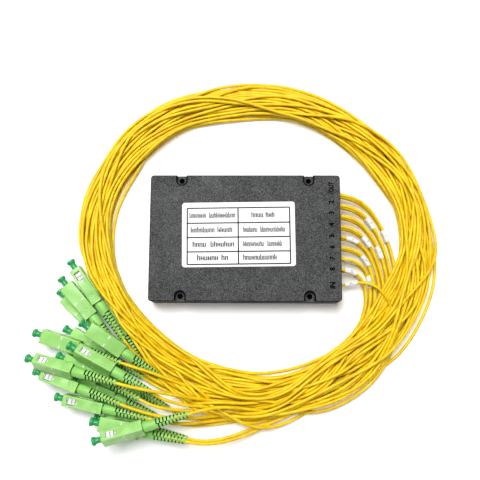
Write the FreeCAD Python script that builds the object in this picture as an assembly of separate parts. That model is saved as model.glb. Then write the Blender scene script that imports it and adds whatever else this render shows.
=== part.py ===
import FreeCAD, Part
import math
import os

os.makedirs("parts", exist_ok=True)

V = FreeCAD.Vector
UP = V(0, 0, 1)

# Box, mm
BOX_X, BOX_Y, BOX_Z = 120.0, 80.0, 18.0
SEAM_Z = 9.0
WALL = 2.5
SKIN = 2.2
CORNER = 2.0
EDGE = 0.4
LIP_T, LIP_H, LIP_GAP = 1.1, 1.4, 0.1

# Screws at the long edges
SCREW_IN_X, SCREW_IN_Y = 19.75, 3.2
SCREW_X, SCREW_Y = BOX_X / 2 - SCREW_IN_X, BOX_Y / 2 - SCREW_IN_Y
POCKET_W, POCKET_D = 5.9, 3.0
POCKET_REACH = 6.0
BOSS_R = 3.6
HEAD_R, HEAD_H, HEAD_Z = 1.55, 1.3, 11.0
SHANK_R, SHANK_END = 0.95, 3.0
HEAD_HOLE_R = 1.7

# Label plate on the lid
LABEL_X, LABEL_Y, LABEL_T = 71.0, 41.0, 0.2
LABEL_AT = (-4.0, 2.0)
LABEL_TURN = 0.8
LABEL_CORNER = 1.8

# Leads: rows along the right wall, two layers of outputs and one input
CORD_R = 1.0
ROW_1, ROW_STEP, ROWS = 29.0, 6.9, 8
ROW_RISE = 3.7
UPPER_Z, LOWER_Z = SEAM_Z + ROW_RISE, SEAM_Z - ROW_RISE
IN_Y = -29.0
HOLE_R = 1.25
HOLE_IN, HOLE_RUN = 10.0, 12.0
LEAD_IN, LEAD_OUT = 5.5, 2.5
START_X, STRAIGHT_X = BOX_X / 2 - LEAD_IN, BOX_X / 2 + LEAD_OUT
COMB_T, COMB_IN = 2.0, 6.5
COMB_X = BOX_X / 2 - COMB_IN
COMB_H, COMB_SIDE = 1.5, 4.0

# Plug, in its own frame: +X to the tip, -Z the keyed face, origin at the sleeve's rear
SLEEVE_L, SLEEVE_W, SLEEVE_H = 25.0, 9.0, 6.9
SLEEVE_RISE = 0.2
KEY_W, KEY_H, KEY_L, KEY_FROM, KEY_SINK = 2.4, 0.5, 14.0, 4.0, 0.2
WINDOW_FRONT, WINDOW_BACK, WINDOW_TIP, WINDOW_HALF, WINDOW_CUT = 2.5, 7.5, 9.8, 2.1, 4.0
GRIPS, GRIP_FROM, GRIP_STEP, GRIP_W, GRIP_D = 4, 1.5, 1.6, 0.8, 0.3
BORE_W, BORE_H = 7.6, 5.7
INNER_W, INNER_H, INNER_L, INNER_FROM = 7.3, 5.4, 24.6, 0.8
NOSE_D, CAP_GAP = 8.0, 0.1
NECK_R, COLLAR_GAP = 2.5, 0.3
BOOT_L, BOOT_R, BOOT_END_R, BOOT_PLAIN = 28.0, 3.2, 1.8, 7.2
SLOTS, SLOT_T, SLOT_WEB, SLOT_FROM, SLOT_END = 6, 0.8, 0.7, 0.8, 0.8
FERRULE_R, FERRULE_FIT, FERRULE_TIP = 1.25, 0.02, 0.8
CAP_R, CAP_NECK, CAP_RIM, CAP_OUT = 2.2, 1.9, 2.7, 6.2
CAP_IN, CAP_SHOULDER, CAP_FLARE, CAP_BRIM = 6.0, 0.3, 2.2, 1.4

# The coil of all the cords' turns
RING_R, COIL_H = 100.0, 7.2
RING_AT = (6.5, -4.0)

# Where each plug lies: rear of its sleeve x, y, z, then heading, nose-up pitch and roll in degrees
PLUGS = {
    "in": (-60.0, -115.0, 22.6, -164, 0, -61),
    "01": (-91.5, -40.5, 14.6, 125, 6, -90),
    "02": (-95.5, -49.0, 12.1, 131, 3, 0),
    "03": (-96.5, -54.0, 4.1, 137, 0, 0),
    "04": (-75.0, -70.5, 16.6, 145, 15, -4),
    "05": (-88.0, -72.5, 4.1, 149, 0, 0),
    "06": (-102.5, -69.0, 12.9, 162, -5, -5),
    "07": (-79.5, -82.0, 22.4, 151, 3, -57),
    "08": (-88.5, -87.0, 15.0, 154, -7, -6),
    "09": (-103.0, -82.5, 23.6, 166, -8, -60),
    "10": (-81.0, -99.0, 5.4, 157, 0, -19),
    "11": (-101.0, -93.0, 15.9, 161, -8, -87),
    "12": (-86.0, -105.0, 13.4, 168, -4, -92),
    "13": (-63.5, -119.0, 12.3, 169, 0, 0),
    "14": (-63.0, -118.0, 4.1, 168, 0, 0),
    "15": (-72.0, -92.5, 4.8, 152, 0, -90),
    "16": (-80.0, -55.0, 4.8, 124, 0, -90),
}

# First stretch of each lead beyond the wall, by row, in plan: outer rows run furthest
ROW_PLAN = {
    1: ((17, 24), (27, 10.5), (33.3, -5), (36, -20)),
    2: ((15.5, 17.5), (25, 4.5), (30.8, -10), (33.2, -24)),
    3: ((14.5, 11), (23.5, -1), (28.8, -14.5), (31, -28)),
    4: ((13.5, 4.5), (21.8, -6.5), (26.6, -19.5), (28.6, -32)),
    5: ((13.5, -2), (21, -12), (24.8, -24), (25.8, -36)),
    6: ((13.5, -8.5), (19.8, -17.5), (22.4, -28.5), (22.4, -39.5)),
    7: ((12.5, -14.8), (18.3, -22), (20, -31.5), (19.2, -41.5)),
    8: ((11, -21.6), (16, -28.3), (17.2, -37.5), (15.3, -46.5)),
}
UPPER_FALL = (9.9, 6.6, 5.4, 5.2)
LOWER_FALL = (3.6, 2.5, 2.4, 2.4)
IN_PLAN = ((12.5, -26.6), (22, -29), (29, -35.5), (33, -43.5))
IN_FALL = (9.6, 10.6, 8, 5)


def place(name):
    """The plug's pose as a FreeCAD placement."""
    x, y, z, heading, pitch, roll = PLUGS[name]
    turn = FreeCAD.Rotation(UP, heading)
    turn = turn.multiply(FreeCAD.Rotation(V(0, 1, 0), -pitch))
    turn = turn.multiply(FreeCAD.Rotation(V(1, 0, 0), roll))
    return FreeCAD.Placement(V(x, y, z), turn)


def box(x0, x1, y0, y1, z0, z1):
    return Part.makeBox(x1 - x0, y1 - y0, z1 - z0, V(x0, y0, z0))


def rounded_plate(length, width, height, corner, z=0.0):
    plate = box(-length / 2, length / 2, -width / 2, width / 2, z, z + height)
    upright = [e for e in plate.Edges if abs(e.Vertexes[0].Z - e.Vertexes[1].Z) > height / 2]
    return plate.makeFillet(corner, upright)


def within_walls():
    return box(-BOX_X / 2, BOX_X / 2, -BOX_Y / 2 + 0.5, BOX_Y / 2 - 0.5, 0, BOX_Z)


def screw_places():
    return [(sx * SCREW_X, sy * SCREW_Y) for sx in (-1, 1) for sy in (-1, 1)]


def lead_rows():
    """Name, height and row of the sixteen outputs: odd ones above, even ones below."""
    rows = {}
    for k in range(1, ROWS + 1):
        rows["%02d" % (2 * k - 1)] = (UPPER_Z, k)
        rows["%02d" % (2 * k)] = (LOWER_Z, k)
    return rows


def row_y(k):
    return ROW_1 - ROW_STEP * (k - 1)


def wall_holes(z):
    """Cylinders for the leads that pass through the right wall at height z."""
    places = [row_y(k) for k in range(1, ROWS + 1)]
    if z == LOWER_Z:
        places.append(IN_Y)
    return [Part.makeCylinder(HOLE_R, HOLE_RUN, V(BOX_X / 2 - HOLE_IN, y, z), V(1, 0, 0)) for y in places]


def comb(z0, z1):
    """Clamp rib that the leads lie in, just inside the right wall."""
    half = BOX_Y / 2 - WALL - COMB_SIDE
    return box(COMB_X, COMB_X + COMB_T, -half, half, z0, z1)


def bevelled(plate, z):
    rim = [e for e in plate.Edges if abs(e.Vertexes[0].Z - z) < 1e-6 and abs(e.Vertexes[-1].Z - z) < 1e-6]
    return plate.makeChamfer(EDGE, rim)


def base_shell():
    tray = bevelled(rounded_plate(BOX_X, BOX_Y, SEAM_Z, CORNER), 0.0)
    room = rounded_plate(BOX_X - 2 * WALL, BOX_Y - 2 * WALL, SEAM_Z, 1.0, SKIN)
    tray = tray.cut(room)
    lip = rounded_plate(BOX_X - 2 * WALL + 2 * LIP_T, BOX_Y - 2 * WALL + 2 * LIP_T, LIP_H, 1.5, SEAM_Z)
    lip = lip.cut(rounded_plate(BOX_X - 2 * WALL, BOX_Y - 2 * WALL, LIP_H, 1.0, SEAM_Z))
    tray = tray.fuse(lip)
    for x, y in screw_places():
        post = Part.makeCylinder(BOSS_R - 0.3, SEAM_Z - SKIN + 0.2, V(x, y, SKIN - 0.2))
        tray = tray.fuse(post.common(within_walls()))
        tray = tray.cut(Part.makeCylinder(BOSS_R + 0.4, LIP_H + 1, V(x, y, SEAM_Z)))
        tray = tray.cut(Part.makeCylinder(SHANK_R, SEAM_Z, V(x, y, SHANK_END)))
    tray = tray.fuse(comb(SKIN - 0.2, LOWER_Z + COMB_H))
    tray = tray.fuse(cradle())
    for hole in wall_holes(LOWER_Z):
        tray = tray.cut(hole)
    return tray.removeSplitter()


def cradle():
    """Two low ribs each side of the splitter chip and stops for the stored fibre."""
    x, y = MODULE_AT[0], MODULE_AT[1]
    near, half = MODULE_W / 2 + CRADLE_GAP, CRADLE_L / 2
    parts = []
    for low in (y - near - CRADLE_T, y + near):
        parts.append(box(x - half, x + half, low, low + CRADLE_T, SKIN - 0.2, SKIN + CRADLE_H))
    return Part.Compound(parts)


def lid():
    cover = bevelled(rounded_plate(BOX_X, BOX_Y, BOX_Z - SEAM_Z, CORNER, SEAM_Z), BOX_Z)
    room = rounded_plate(BOX_X - 2 * WALL, BOX_Y - 2 * WALL, BOX_Z - SEAM_Z - SKIN, 1.0, SEAM_Z)
    cover = cover.cut(room)
    grow = 2 * (LIP_T + LIP_GAP)
    groove = rounded_plate(BOX_X - 2 * WALL + grow, BOX_Y - 2 * WALL + grow, LIP_H + LIP_GAP, 1.6, SEAM_Z)
    cover = cover.cut(groove)
    for x, y in screw_places():
        side = math.copysign(1, y)
        boss = Part.makeCylinder(BOSS_R, BOX_Z - SEAM_Z - 1, V(x, y, SEAM_Z))
        cover = cover.fuse(boss.common(within_walls()))
        pocket = Part.makeCylinder(POCKET_W / 2, POCKET_D, V(x, y, BOX_Z - POCKET_D))
        reach = box(x - POCKET_W / 2, x + POCKET_W / 2, 0, POCKET_REACH, BOX_Z - POCKET_D, BOX_Z)
        reach.translate(V(0, y if side > 0 else y - POCKET_REACH, 0))
        cover = cover.cut(pocket).cut(reach)
        cover = cover.cut(Part.makeCylinder(HEAD_HOLE_R, BOX_Z, V(x, y, HEAD_Z)))
        cover = cover.cut(Part.makeCylinder(SHANK_R + 0.15, BOX_Z, V(x, y, SEAM_Z - 1)))
    cover = cover.fuse(comb(UPPER_Z - COMB_H, BOX_Z - SKIN + 0.2))
    for hole in wall_holes(UPPER_Z):
        cover = cover.cut(hole)
    return cover.removeSplitter()


def label():
    plate = rounded_plate(LABEL_X, LABEL_Y, LABEL_T, LABEL_CORNER)
    plate.rotate(V(0, 0, 0), UP, LABEL_TURN)
    plate.translate(V(LABEL_AT[0], LABEL_AT[1], BOX_Z))
    return plate


def cross_recess(x, y, z):
    slot = box(-0.95, 0.95, -0.25, 0.25, 0, 1)
    other = slot.copy()
    other.rotate(V(0, 0, 0), UP, 90)
    recess = slot.fuse(other)
    recess.rotate(V(0, 0, 0), UP, 20)
    recess.translate(V(x, y, z))
    return recess


def lid_screws():
    screws = []
    for x, y in screw_places():
        head = Part.makeCylinder(HEAD_R, HEAD_H, V(x, y, HEAD_Z))
        head = head.cut(cross_recess(x, y, HEAD_Z + HEAD_H - 0.7))
        shank = Part.makeCylinder(SHANK_R - 0.02, HEAD_Z - SHANK_END - 0.5, V(x, y, SHANK_END + 0.5))
        screws.append(head.fuse(shank).removeSplitter())
    return Part.Compound(screws)


# Splitter chip in its steel case, with the fibre ends' rubber snouts
MODULE_L, MODULE_W, MODULE_H = 50.0, 7.0, 4.0
MODULE_AT = (-7.0, 0.0, SKIN)
SNOUT_R, SNOUT_END_R, SNOUT_L = 1.6, 0.9, 5.0
CRADLE_L, CRADLE_T, CRADLE_H, CRADLE_GAP = 30.0, 1.2, 3.0, 0.1
BLOCK_L, BLOCK_W, BLOCK_H, BLOCK_IN = 14.0, 22.0, 6.0, 20.0
BLOCK_AT = (BOX_X / 2 - BLOCK_IN, 0.0, SKIN)
MOUTH_W, MOUTH_H, MOUTH_D = 5.0, 1.0, 3.0
LOOPS_T, LOOPS_BAND, LOOPS_SIDE, LOOPS_FREE, LOOPS_EDGE = 1.6, 4.0, 4.0, 30.0, 10.0
LOOPS_L, LOOPS_W = BOX_X - LOOPS_SIDE - LOOPS_FREE, BOX_Y - 2 * LOOPS_EDGE
LOOPS_X = (LOOPS_SIDE - LOOPS_FREE) / 2


def chip_module():
    case = box(-MODULE_L / 2, MODULE_L / 2, -MODULE_W / 2, MODULE_W / 2, 0, MODULE_H)
    case = case.makeFillet(0.5, [e for e in case.Edges if e.Length > MODULE_L - 1])
    for side in (-1, 1):
        end = V(side * MODULE_L / 2, 0, MODULE_H / 2)
        snout = Part.makeCone(SNOUT_R, SNOUT_END_R, SNOUT_L, end, V(side, 0, 0))
        case = case.fuse(snout)
    case.translate(V(*MODULE_AT))
    return case


def fanout_block():
    """Block that the ribbon enters and the sixteen jacketed leads start from."""
    rear, low = -BLOCK_L / 2, (BLOCK_H - MOUTH_H) / 2
    block = box(rear, -rear, -BLOCK_W / 2, BLOCK_W / 2, 0, BLOCK_H)
    block = block.makeFillet(1.0, [e for e in block.Edges if abs(e.Length - BLOCK_H) < 1e-6])
    mouth = box(rear - 1, rear + MOUTH_D, -MOUTH_W / 2, MOUTH_W / 2, low, low + MOUTH_H)
    block = block.cut(mouth)
    block.translate(V(*BLOCK_AT))
    return block


def fibre_loops():
    """Slack fibre stored round the chip as one flat racetrack on the case's floor."""
    turn = LOOPS_W / 2 - 1
    width = 2 * LOOPS_BAND
    outer = rounded_plate(LOOPS_L, LOOPS_W, LOOPS_T, turn, SKIN)
    inner = rounded_plate(LOOPS_L - width, LOOPS_W - width, LOOPS_T, turn - LOOPS_BAND, SKIN)
    loops = outer.cut(inner)
    loops.translate(V(LOOPS_X, 0, 0))
    return loops


def bend_radius(before, corner, after):
    a, b = before - corner, after - corner
    half = (math.pi - a.getAngle(b)) / 2
    return 0.45 * min(a.Length, b.Length) / math.tan(half)


def tube(points, note, thick=CORD_R):
    """Round cord along straight runs joined by tangent arcs."""
    pts = [V(*p) for p in points]
    edges, start, radii = [], pts[0], []
    for i in range(1, len(pts) - 1):
        a, b = pts[i - 1] - pts[i], pts[i + 1] - pts[i]
        cut = 0.45 * min(a.Length, b.Length)
        enter, leave = pts[i] + a.normalize() * cut, pts[i] + b.normalize() * cut
        radius = bend_radius(pts[i - 1], pts[i], pts[i + 1])
        centre = pts[i] + (a + b).normalize() * math.hypot(radius, cut)
        middle = centre + (pts[i] - centre).normalize() * radius
        edges += [Part.LineSegment(start, enter).toShape(), Part.Arc(enter, middle, leave).toShape()]
        start = leave
        radii.append(radius)
    edges.append(Part.LineSegment(start, pts[-1]).toShape())
    path = Part.Wire(edges)
    ring = Part.Wire(Part.Circle(pts[0], pts[1] - pts[0], thick).toShape())
    solid = path.makePipeShell([ring], True, False)
    share = solid.Volume / (math.pi * thick ** 2 * path.Length)
    runs = [round((q - p).Length, 1) for p, q in zip(pts, pts[1:])]
    if note:
        print("cord", note, "radii", [round(r) for r in radii], "runs", runs,
              "length", round(path.Length, 1), "volume share", round(share, 4))
    return solid


def first_route(name):
    """From the comb, straight out through the wall, then down onto the coil."""
    if name == "in":
        y, height, plan, fall = IN_Y, LOWER_Z, IN_PLAN, IN_FALL
    else:
        height, row = lead_rows()[name]
        y, plan = row_y(row), ROW_PLAN[row]
        fall = UPPER_FALL if height == UPPER_Z else LOWER_FALL
    start = [(START_X, y, height), (STRAIGHT_X, y, height)]
    return start + [(BOX_X / 2 + dx, y2, z) for (dx, y2), z in zip(plan, fall)]


# Second stretch, from the coil to each plug's boot; the last two points follow the boot's axis
TAIL_ROUTES = {
    "in": ((20, -108, 5), (9, -106.5, 7.5), (-3, -104.5, 13), (-15, -103.3, 19)),
    "01": ((-37, -91.5, 4.6), (-46.5, -88, 5), (-56, -82.5, 6.4), (-64.5, -75.7, 8.4)),
    "02": ((-25.5, -102.5, 5.5), (-36, -98.5, 7.2), (-46.5, -93.2, 7.2), (-56.5, -87.8, 8.2),
           (-65, -82.3, 9.3)),
    "03": ((-37, -101, 1.8), (-46, -97, 1.5), (-55, -91.2, 1.3), (-63.3, -84.8, 2)),
    "04": ((-26, -99, 5), (-36.5, -95.3, 6)),
    "05": ((-38, -98.8, 3.9), (-47.5, -95.8, 4.2)),
    "06": ((-23.5, -95.5, 5.2), (-34, -92.3, 7.5), (-45.5, -88, 12), (-57.5, -83.3, 15.8)),
    "07": ((-15, -104, 6.5), (-26.5, -104, 10.5), (-38, -102.5, 16.5)),
    "08": ((-13, -107, 5), (-24, -107, 6.5), (-36, -106.5, 12), (-47, -105, 17.5)),
    "09": ((-9, -101.5, 5.5), (-20, -100.5, 8.5), (-32, -98.5, 15), (-44.5, -96, 22.5), (-57, -93.5, 27)),
    "10": ((-14, -114.5, 2.6), (-26, -116, 3.2), (-37, -115.8, 4.6)),
    "11": ((-10, -109.5, 5.2), (-21, -110.3, 7.5), (-33, -111, 12.5), (-45, -110.5, 17), (-56.5, -108, 18.8)),
    "12": ((-16, -112.5, 5.4), (-28, -113.8, 9), (-40, -114.2, 13.5)),
    "13": ((7, -119, 4.8), (-5, -123.5, 6.5), (-17, -126, 9.5)),
    "14": ((6, -117.5, 2.4), (-5, -121.5, 2.6), (-17, -125, 3.2)),
    "15": ((-20, -112.3, 2.6), (-31, -112, 4)),
    "16": ((-35, -96, 2.6), (-44, -93.5, 3), (-53, -89.5, 4)),
}
BOOT_RUN = 8.0


def tail_route(name):
    pose = place(name)
    end = pose.multVec(V(-BOOT_L, 0, 0))
    before = pose.multVec(V(-BOOT_L - BOOT_RUN, 0, 0))
    return list(TAIL_ROUTES[name]) + [tuple(before), tuple(end)]


def lead(name):
    first = tube(first_route(name), name + " box end")
    return Part.Compound([first, tube(tail_route(name), name + " plug end")])


# How far along its lead each number marker sits, from the comb
MARKER_AT = {"in": 13.6, "01": 49.1, "02": 48.6, "03": 30.3, "04": 29.9, "05": 43.7, "06": 43.0,
             "07": 27.1, "08": 26.7, "09": 13.9, "10": 38.4, "11": 25.5, "12": 25.0, "13": 33.3,
             "14": 13.2, "15": 12.6, "16": 21.2}
MARKER_L, MARKER_R, MARKER_GAP = 8.0, 1.6, 0.1


def run_at(route, distance):
    """Ends of the straight run that lies at this distance along a route."""
    for a, b in zip(route, route[1:]):
        if distance <= (b - a).Length:
            return a, b
        distance -= (b - a).Length
    return route[-2], route[-1]


def marker(name):
    """Short sleeve that follows its lead's own bend."""
    route = [V(*p) for p in first_route(name)]
    a, b = run_at(route, MARKER_AT[name])
    along = (b - a).normalize()
    start = (a + b) * 0.5 - along * (MARKER_L / 2)
    reach = Part.makeCylinder(2 * MARKER_R, MARKER_L, start, along)
    outside = tube(first_route(name), "", MARKER_R)
    return outside.common(reach).cut(tube(first_route(name), "", CORD_R + MARKER_GAP))


def lead_markers():
    return Part.Compound([marker(name) for name in PLUGS])


# Outline of the coil: how far outside and inside the ring's radius, every 15 degrees from +X
COIL_OUTER = (17.5, 15, 14, 10.5, 11.5, 12.5, 12, 12.5, 16, 18.5, 16, 16,
              7, -3.5, -6, -4.5, 7, 16, 18, 12, 15.5, 15.5, 15.5, 17)
COIL_INNER = (-11, -9, -12, -13, -13, -12, -13.5, -12, -9, -8, -9, -12,
              -14, -17, -20, -21, -21, -21, -21, -21, -21, -21, -22, -18)


def outline(radii, z):
    spots = []
    for i, offset in enumerate(radii):
        angle = 2 * math.pi * i / len(radii)
        radius = RING_R + offset
        spots.append(V(RING_AT[0] + radius * math.cos(angle), RING_AT[1] + radius * math.sin(angle), z))
    curve = Part.BSplineCurve()
    curve.interpolate(spots, True)
    return Part.Wire(curve.toShape())


def cord_coil():
    outer = Part.Face(outline(COIL_OUTER, 0)).extrude(V(0, 0, COIL_H))
    inner = Part.Face(outline(COIL_INNER, -1)).extrude(V(0, 0, COIL_H + 2))
    return outer.cut(inner)


def window(side):
    """Pentagon window through one narrow wall of the sleeve, pointing to the rear."""
    pts = [(WINDOW_FRONT, -WINDOW_HALF), (WINDOW_FRONT, WINDOW_HALF), (WINDOW_BACK, WINDOW_HALF),
           (WINDOW_TIP, 0), (WINDOW_BACK, -WINDOW_HALF)]
    y = side * SLEEVE_W / 2
    ring = [V(SLEEVE_L - x, y - side * WINDOW_CUT / 2, z + SLEEVE_RISE) for x, z in pts]
    face = Part.Face(Part.makePolygon(ring + ring[:1]))
    return face.extrude(V(0, side * WINDOW_CUT, 0))


def sleeve(name):
    low = SLEEVE_RISE - SLEEVE_H / 2
    high = low + SLEEVE_H
    floor = SLEEVE_RISE - BORE_H / 2
    body = box(0, SLEEVE_L, -SLEEVE_W / 2, SLEEVE_W / 2, low, high)
    body = body.makeChamfer(0.4, [e for e in body.Edges if abs(e.Length - SLEEVE_L) < 1e-6])
    body = body.fuse(box(KEY_FROM, KEY_FROM + KEY_L, -KEY_W / 2, KEY_W / 2, low - KEY_H, low + KEY_SINK))
    body = body.cut(box(-1, SLEEVE_L + 1, -BORE_W / 2, BORE_W / 2, floor, floor + BORE_H))
    for side in (-1, 1):
        body = body.cut(window(side))
        for i in range(GRIPS):
            x, y = GRIP_FROM + GRIP_STEP * i, side * SLEEVE_W / 2
            body = body.cut(box(x, x + GRIP_W, y - GRIP_D, y + GRIP_D, low + 0.5, high - 0.5))
    body.Placement = place(name)
    return body


def boot():
    """Strain relief: neck, plain collar, then a taper slit from both sides in turn."""
    profile = [(INNER_FROM, 0), (INNER_FROM, NECK_R), (-COLLAR_GAP, NECK_R), (-COLLAR_GAP, BOOT_R),
               (-BOOT_PLAIN, BOOT_R - 0.1), (-BOOT_L, BOOT_END_R), (-BOOT_L, 0)]
    ring = [V(x, r, 0) for x, r in profile]
    body = Part.Face(Part.makePolygon(ring + ring[:1])).revolve(V(0, 0, 0), V(1, 0, 0), 360)
    pitch = (BOOT_L - BOOT_PLAIN - SLOT_FROM - SLOT_END) / (2 * SLOTS)
    far = BOOT_R + 1
    for i in range(2 * SLOTS):
        x = -BOOT_PLAIN - SLOT_FROM - pitch * (i + 0.5)
        low, high = (SLOT_WEB, far) if i % 2 else (-far, -SLOT_WEB)
        body = body.cut(box(x - SLOT_T / 2, x + SLOT_T / 2, low, high, -far, far))
    return body


def inner_housing():
    low = SLEEVE_RISE - INNER_H / 2
    body = box(INNER_FROM, INNER_L, -INNER_W / 2, INNER_W / 2, low, low + INNER_H)
    return body.cut(Part.makeCylinder(CAP_R + CAP_GAP, NOSE_D + 1, V(INNER_L - NOSE_D, 0, 0), V(1, 0, 0)))


def dust_cap():
    tip, back = SLEEVE_L + CAP_OUT, INNER_L - CAP_IN
    room = FERRULE_R + FERRULE_FIT
    deep = INNER_L - FERRULE_TIP + CAP_SHOULDER
    profile = [(back, room), (back, CAP_R), (SLEEVE_L + CAP_SHOULDER, CAP_R), (SLEEVE_L + 1, CAP_NECK),
               (tip - CAP_FLARE, CAP_NECK), (tip - CAP_BRIM, CAP_RIM), (tip, CAP_RIM),
               (tip, 0), (deep, 0), (deep, room)]
    ring = [V(x, r, 0) for x, r in profile]
    return Part.Face(Part.makePolygon(ring + ring[:1])).revolve(V(0, 0, 0), V(1, 0, 0), 360)


def plug(name):
    ferrule = Part.makeCylinder(FERRULE_R, NOSE_D - FERRULE_TIP, V(INNER_L - NOSE_D, 0, 0), V(1, 0, 0))
    relief = boot()
    relief.rotate(V(0, 0, 0), V(1, 0, 0), -PLUGS[name][5])
    pieces = [inner_housing(), ferrule, relief, dust_cap()]
    for piece in pieces:
        piece.Placement = place(name).multiply(piece.Placement)
    return Part.Compound(pieces)


def save(name, shape):
    shape.exportStep("parts/%s.step" % name)
    valid = all(s.isValid() for s in shape.Solids)
    print(name, "solids", len(shape.Solids), "valid", valid, "volume", round(shape.Volume, 1))


save("base_shell", base_shell())
save("lid", lid())
save("label", label())
save("lid_screws", lid_screws())
save("chip_module", chip_module())
save("fanout_block", fanout_block())
save("fibre_loops", fibre_loops())
save("lead_markers", lead_markers())
save("cord_coil", cord_coil())
for number in PLUGS:
    save("lead_" + number, lead(number))
    save("plug_" + number, plug(number))
    save("sleeve_" + number, sleeve(number))
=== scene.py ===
import math

import bmesh
import bpy
import numpy as np
from mathutils import Matrix, Vector


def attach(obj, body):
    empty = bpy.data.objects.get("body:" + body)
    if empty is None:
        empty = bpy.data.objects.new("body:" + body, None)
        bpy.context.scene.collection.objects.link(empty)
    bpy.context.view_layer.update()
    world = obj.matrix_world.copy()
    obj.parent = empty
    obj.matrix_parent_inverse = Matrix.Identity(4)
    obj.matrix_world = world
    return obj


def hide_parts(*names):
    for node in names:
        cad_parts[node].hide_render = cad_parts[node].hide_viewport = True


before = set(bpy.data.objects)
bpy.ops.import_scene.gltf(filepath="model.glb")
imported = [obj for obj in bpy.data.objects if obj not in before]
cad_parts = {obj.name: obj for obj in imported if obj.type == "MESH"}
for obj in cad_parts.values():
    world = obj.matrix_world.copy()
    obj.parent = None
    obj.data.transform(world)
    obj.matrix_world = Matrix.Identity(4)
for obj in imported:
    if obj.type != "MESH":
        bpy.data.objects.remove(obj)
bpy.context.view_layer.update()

MM = 0.001
NAMES = ["in"] + ["%02d" % i for i in range(1, 17)]


def put(name, data):
    """A new object in the scene."""
    piece = bpy.data.objects.new(name, data)
    bpy.context.scene.collection.objects.link(piece)
    return piece


# -------- camera
# Places and clip distances in metres, the roll in radians
EYE, AIM, ROLL = Vector((0.0038, -0.067, 0.430)), Vector((-0.0034, 0.0012, 0.0)), 0.0045
LENS, SENSOR, CLIP_START, CLIP_END = 50.0, 36.0, 0.01, 10.0


def set_camera():
    data = bpy.data.cameras.new("camera")
    data.lens, data.sensor_width = LENS, SENSOR
    data.clip_start, data.clip_end = CLIP_START, CLIP_END
    camera = put("camera", data)
    look = (AIM - EYE).normalized()
    side = look.cross(Vector((0, 1, 0))).normalized()
    top = side.cross(look)
    right_hand = side * math.cos(ROLL) + top * math.sin(ROLL)
    upward = -side * math.sin(ROLL) + top * math.cos(ROLL)
    turn = Matrix((right_hand, upward, -look)).transposed()
    camera.matrix_world = Matrix.Translation(EYE) @ turn.to_4x4()
    bpy.context.scene.camera = camera


set_camera()

# -------- routes and poses, as in the part's source, in mm
# Each plug: x, y, z where its boot meets its sleeve, then heading, pitch and lean in degrees
PLUGS = {
    "in": (-60.0, -115.0, 22.6, -164, 0, -61),
    "01": (-91.5, -40.5, 14.6, 125, 6, -90),
    "02": (-95.5, -49.0, 12.1, 131, 3, 0),
    "03": (-96.5, -54.0, 4.1, 137, 0, 0),
    "04": (-75.0, -70.5, 16.6, 145, 15, -4),
    "05": (-88.0, -72.5, 4.1, 149, 0, 0),
    "06": (-102.5, -69.0, 12.9, 162, -5, -5),
    "07": (-79.5, -82.0, 22.4, 151, 3, -57),
    "08": (-88.5, -87.0, 15.0, 154, -7, -6),
    "09": (-103.0, -82.5, 23.6, 166, -8, -60),
    "10": (-81.0, -99.0, 5.4, 157, 0, -19),
    "11": (-101.0, -93.0, 15.9, 161, -8, -87),
    "12": (-86.0, -105.0, 13.4, 168, -4, -92),
    "13": (-63.5, -119.0, 12.3, 169, 0, 0),
    "14": (-63.0, -118.0, 4.1, 168, 0, 0),
    "15": (-72.0, -92.5, 4.8, 152, 0, -90),
    "16": (-80.0, -55.0, 4.8, 124, 0, -90),
}
WALL_X, START_X, STRAIGHT_X = 60.0, 54.5, 62.5
ROW_1, ROW_STEP, UPPER_Z, LOWER_Z = 29.0, 6.9, 12.7, 5.3
ROW_PLAN = {
    1: ((77, 24), (87, 10.5), (93.3, -5), (96, -20)),
    2: ((75.5, 17.5), (85, 4.5), (90.8, -10), (93.2, -24)),
    3: ((74.5, 11), (83.5, -1), (88.8, -14.5), (91, -28)),
    4: ((73.5, 4.5), (81.8, -6.5), (86.6, -19.5), (88.6, -32)),
    5: ((73.5, -2), (81, -12), (84.8, -24), (85.8, -36)),
    6: ((73.5, -8.5), (79.8, -17.5), (82.4, -28.5), (82.4, -39.5)),
    7: ((72.5, -14.8), (78.3, -22), (80, -31.5), (79.2, -41.5)),
    8: ((71, -21.6), (76, -28.3), (77.2, -37.5), (75.3, -46.5)),
}
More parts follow.
